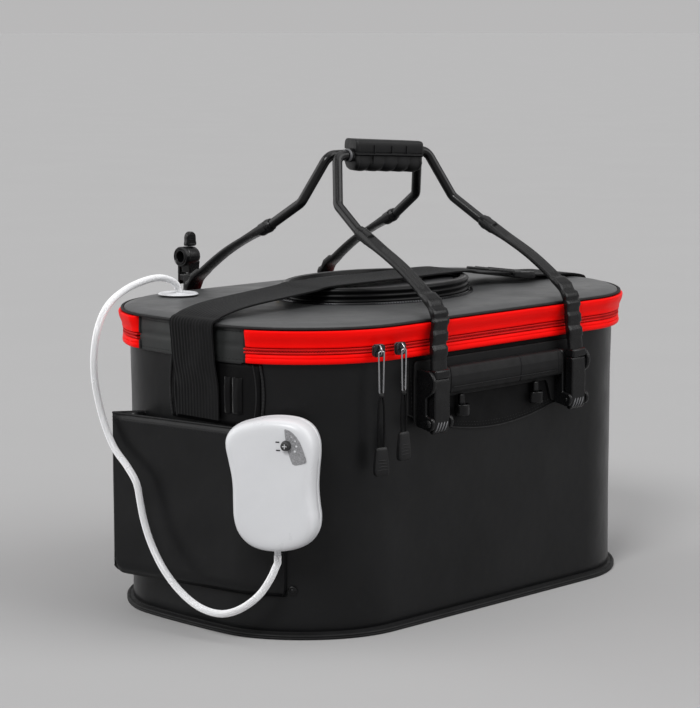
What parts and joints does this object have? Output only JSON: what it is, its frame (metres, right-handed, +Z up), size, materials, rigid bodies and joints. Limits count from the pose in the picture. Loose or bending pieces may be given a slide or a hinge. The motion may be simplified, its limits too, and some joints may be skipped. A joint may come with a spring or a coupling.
{
  "type": "folding fishing bucket",
  "caption": "Live-fish tub with zipped lid and hatch, swinging carrying bails, shoulder strap, side pouch, rod rest and clip-on battery air pump with its hose.",
  "frame": {"origin": "centre of the tub's underside, on the ground", "axes": "+X along the tub to the right end, -Y out of the long front wall, +Z up; the lid hinges on the left end"},
  "size_m": [0.5889, 0.3899, 0.461],
  "materials": {
    "eva": "satin",
    "red": "satin",
    "plastic": "satin",
    "rubber": "matte",
    "webbing": "matte",
    "black_steel": "satin",
    "steel": "satin",
    "white": "gloss",
    "grey": "satin",
    "hose": "gloss",
    "stone": "matte"
  },
  "bodies": {
    "tub": {"tub_floor": "eva", "tub_wall": "eva", "rim_hoop": "plastic", "tub_zip_tape": "red", "zip_teeth_lower": "grey", "hinge_strip": "eva", "front_patch": "eva", "back_patch": "eva", "front_bracket": "plastic", "back_bracket": "plastic", "front_pin_left": "steel", "front_pin_right": "steel", "back_pin_left": "steel", "back_pin_right": "steel", "strap_left_drop": "webbing", "strap_left_anchor": "eva", "strap_right_anchor": "eva", "strap_ring": "plastic", "pocket": "eva", "pocket_snap": "plastic", "pump_front_shell": "white", "pump_back_shell": "white", "pump_motor": "grey", "battery_pack": "grey", "pump_clip": "steel", "air_hose": "hose", "inner_hose": "hose", "air_stone": "stone"},
    "front_handle": {"front_bail": "black_steel", "front_leg_left": "plastic", "front_leg_right": "plastic", "grip": "rubber"},
    "back_handle": {"back_bail": "black_steel", "back_leg_left": "plastic", "back_leg_right": "plastic", "rod_clamp": "plastic", "rod_bolt": "steel"},
    "rod_cup": {"rod_socket": "plastic"},
    "rod_latch": {"rod_lever": "plastic"},
    "lid": {"lid_panel": "eva", "lid_band": "red", "zip_teeth_upper": "grey", "lid_piping": "rubber", "hatch_collar": "eva", "hatch_cover": "eva", "hatch_mesh": "webbing", "grommet": "white", "shoulder_strap": "webbing", "strap_right_drop": "webbing", "strap_hook": "plastic"},
    "hatch_runner": {"hatch_slider": "steel"},
    "adjuster": {"strap_adjuster": "plastic"},
    "slider_1": {"zip_slider_1": "grey"},
    "pull_1": {"zip_pull_1": "steel", "zip_tab_1": "rubber"},
    "slider_2": {"zip_slider_2": "grey"},
    "pull_2": {"zip_pull_2": "steel", "zip_tab_2": "rubber"},
    "knob": {"pump_knob": "grey"}
  },
  "joints": [
    {"name": "front_bail_swing", "type": "hinge", "parent": "tub", "child": "front_handle", "pos_m": [0, -0.1785, 0.1985], "axis": [1, 0, 0], "range_deg": [0, 150]},
    {"name": "back_bail_swing", "type": "hinge", "parent": "tub", "child": "back_handle", "pos_m": [0, 0.1785, 0.1985], "axis": [-1, 0, 0], "range_deg": [0, 150]},
    {"name": "lid_open", "type": "hinge", "parent": "tub", "child": "lid", "pos_m": [-0.271, 0, 0.277], "axis": [0, -1, 0], "range_deg": [0, 57], "deforming": ["hinge_strip", "strap_left_drop", "air_hose", "inner_hose"]},
    {"name": "rod_tilt", "type": "hinge", "parent": "back_handle", "child": "rod_cup", "pos_m": [-0.093, 0.1849, 0.332], "axis": [0, 1, 0], "range_deg": [-45, 45]},
    {"name": "rod_lock", "type": "hinge", "parent": "rod_cup", "child": "rod_latch", "pos_m": [-0.0875, 0.1849, 0.3428], "axis": [0, 1, 0], "range_deg": [0, 90]},
    {"name": "adjuster_slide", "type": "slide", "parent": "lid", "child": "adjuster", "axis": [0.9937, 0, -0.1118], "range_m": [-0.005, 0.005]},
    {"name": "hatch_zip", "type": "hinge", "parent": "lid", "child": "hatch_runner", "pos_m": [-0.05942, -0.01844, 0.3025], "axis": [0, 0, -1], "range_deg": [0, 15]},
    {"name": "zip_travel_1", "type": "hinge", "parent": "tub", "child": "slider_1", "pos_m": [-0.15, -0.059, 0.2746], "axis": [0, 0, -1], "range_deg": [0, 22]},
    {"name": "pull_swing_1", "type": "hinge", "parent": "slider_1", "child": "pull_1", "pos_m": [-0.17886, -0.17476, 0.2746], "axis": [-0.9703, 0.2419, 0], "range_deg": [0, 100]},
    {"name": "zip_travel_2", "type": "slide", "parent": "tub", "child": "slider_2", "axis": [1, 0, 0], "range_m": [0, 0.022]},
    {"name": "pull_swing_2", "type": "hinge", "parent": "slider_2", "child": "pull_2", "pos_m": [-0.152, -0.1783, 0.2746], "axis": [-1, 0, 0], "range_deg": [0, 100]},
    {"name": "knob_turn", "type": "hinge", "parent": "tub", "child": "knob", "pos_m": [-0.27578, -0.14696, 0.1945], "axis": [-0.8779, -0.4788, 0], "range_deg": [0, 90]}
  ],
  "couplings": [
    {"joint": "back_bail_swing", "follows": "front_bail_swing", "ratio": 1},
    {"joint": "lid_open", "follows": "front_bail_swing", "ratio": 0.38}
  ]
}
